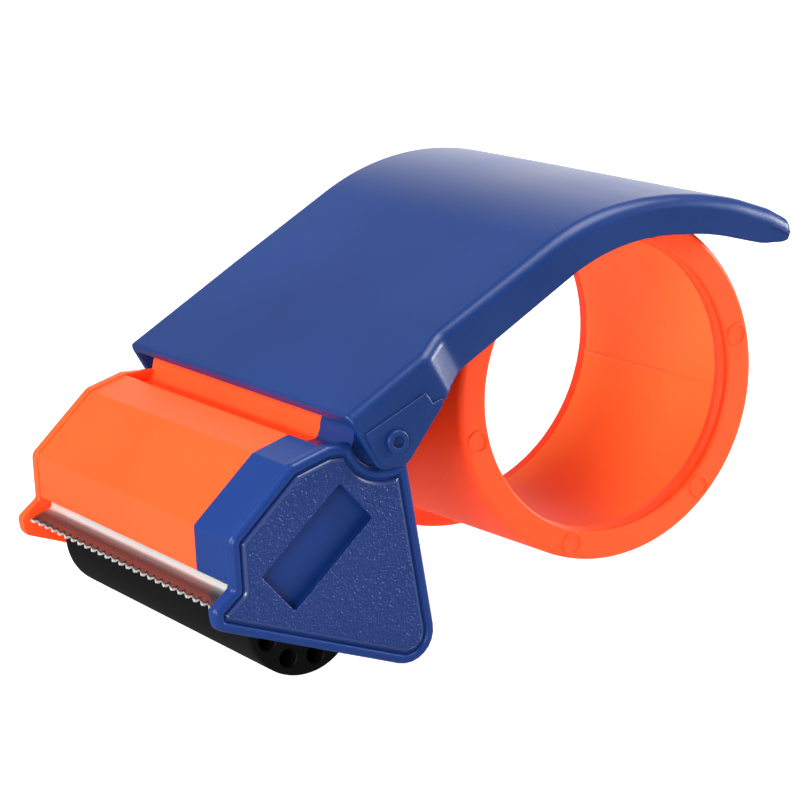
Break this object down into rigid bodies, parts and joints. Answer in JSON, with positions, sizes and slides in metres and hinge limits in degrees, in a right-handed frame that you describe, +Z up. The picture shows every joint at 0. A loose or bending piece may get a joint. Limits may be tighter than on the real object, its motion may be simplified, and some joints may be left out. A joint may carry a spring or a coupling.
{
  "type": "tape dispenser",
  "caption": "Hand-held packing-tape dispenser: toothed cutting head with a rubber press roller, a tape hub, and a hinged handle arching over the roll.",
  "frame": {"origin": "middle of the object's box, on the surface that it stands on", "axes": "X across the width with the open, cover side at +X; Y from the blade at -Y to the handle's tail at +Y; +Z up"},
  "size_m": [0.0992, 0.1432, 0.0905],
  "materials": {
    "orange_plastic": "smooth moulded plastic, soft gloss",
    "blue_plastic": "moulded plastic with a fine grain",
    "black_rubber": "matt black rubber with fine lengthwise lines",
    "white_plastic": "natural acetal",
    "blade_steel": "polished blade steel",
    "zinc_steel": "zinc-plated steel"
  },
  "bodies": {
    "frame": {"side_frame": "orange_plastic", "hub_drum": "orange_plastic", "side_cover": "blue_plastic", "hinge_pin_near": "blue_plastic", "hinge_pin_far": "blue_plastic", "blade": "blade_steel", "blade_clamp": "zinc_steel", "blade_screw_1": "zinc_steel", "blade_screw_2": "zinc_steel", "blade_screw_3": "zinc_steel", "roller_spacer_near": "white_plastic", "roller_spacer_far": "white_plastic", "roller_axle": "zinc_steel", "guide_axle": "zinc_steel"},
    "handle": {"handle_shell": "blue_plastic", "brake_pad": "black_rubber"},
    "press_roller": {"roller_sleeve": "black_rubber", "roller_core": "white_plastic", "roller_bush_near": "white_plastic", "roller_bush_far": "white_plastic"},
    "guide": {"guide_roller": "white_plastic"}
  },
  "joints": [
    {"name": "handle_hinge", "type": "hinge", "parent": "frame", "child": "handle", "pos_m": [0, -0.03287, 0.04625], "axis": [1, 0, 0], "range_deg": [0, 20]},
    {"name": "press_roller_spin", "type": "hinge", "parent": "frame", "child": "press_roller", "pos_m": [0, -0.05007, 0.0123], "axis": [1, 0, 0], "continuous": true},
    {"name": "guide_roller_spin", "type": "hinge", "parent": "frame", "child": "guide", "pos_m": [0, -0.04117, 0.03075], "axis": [1, 0, 0], "continuous": true}
  ]
}
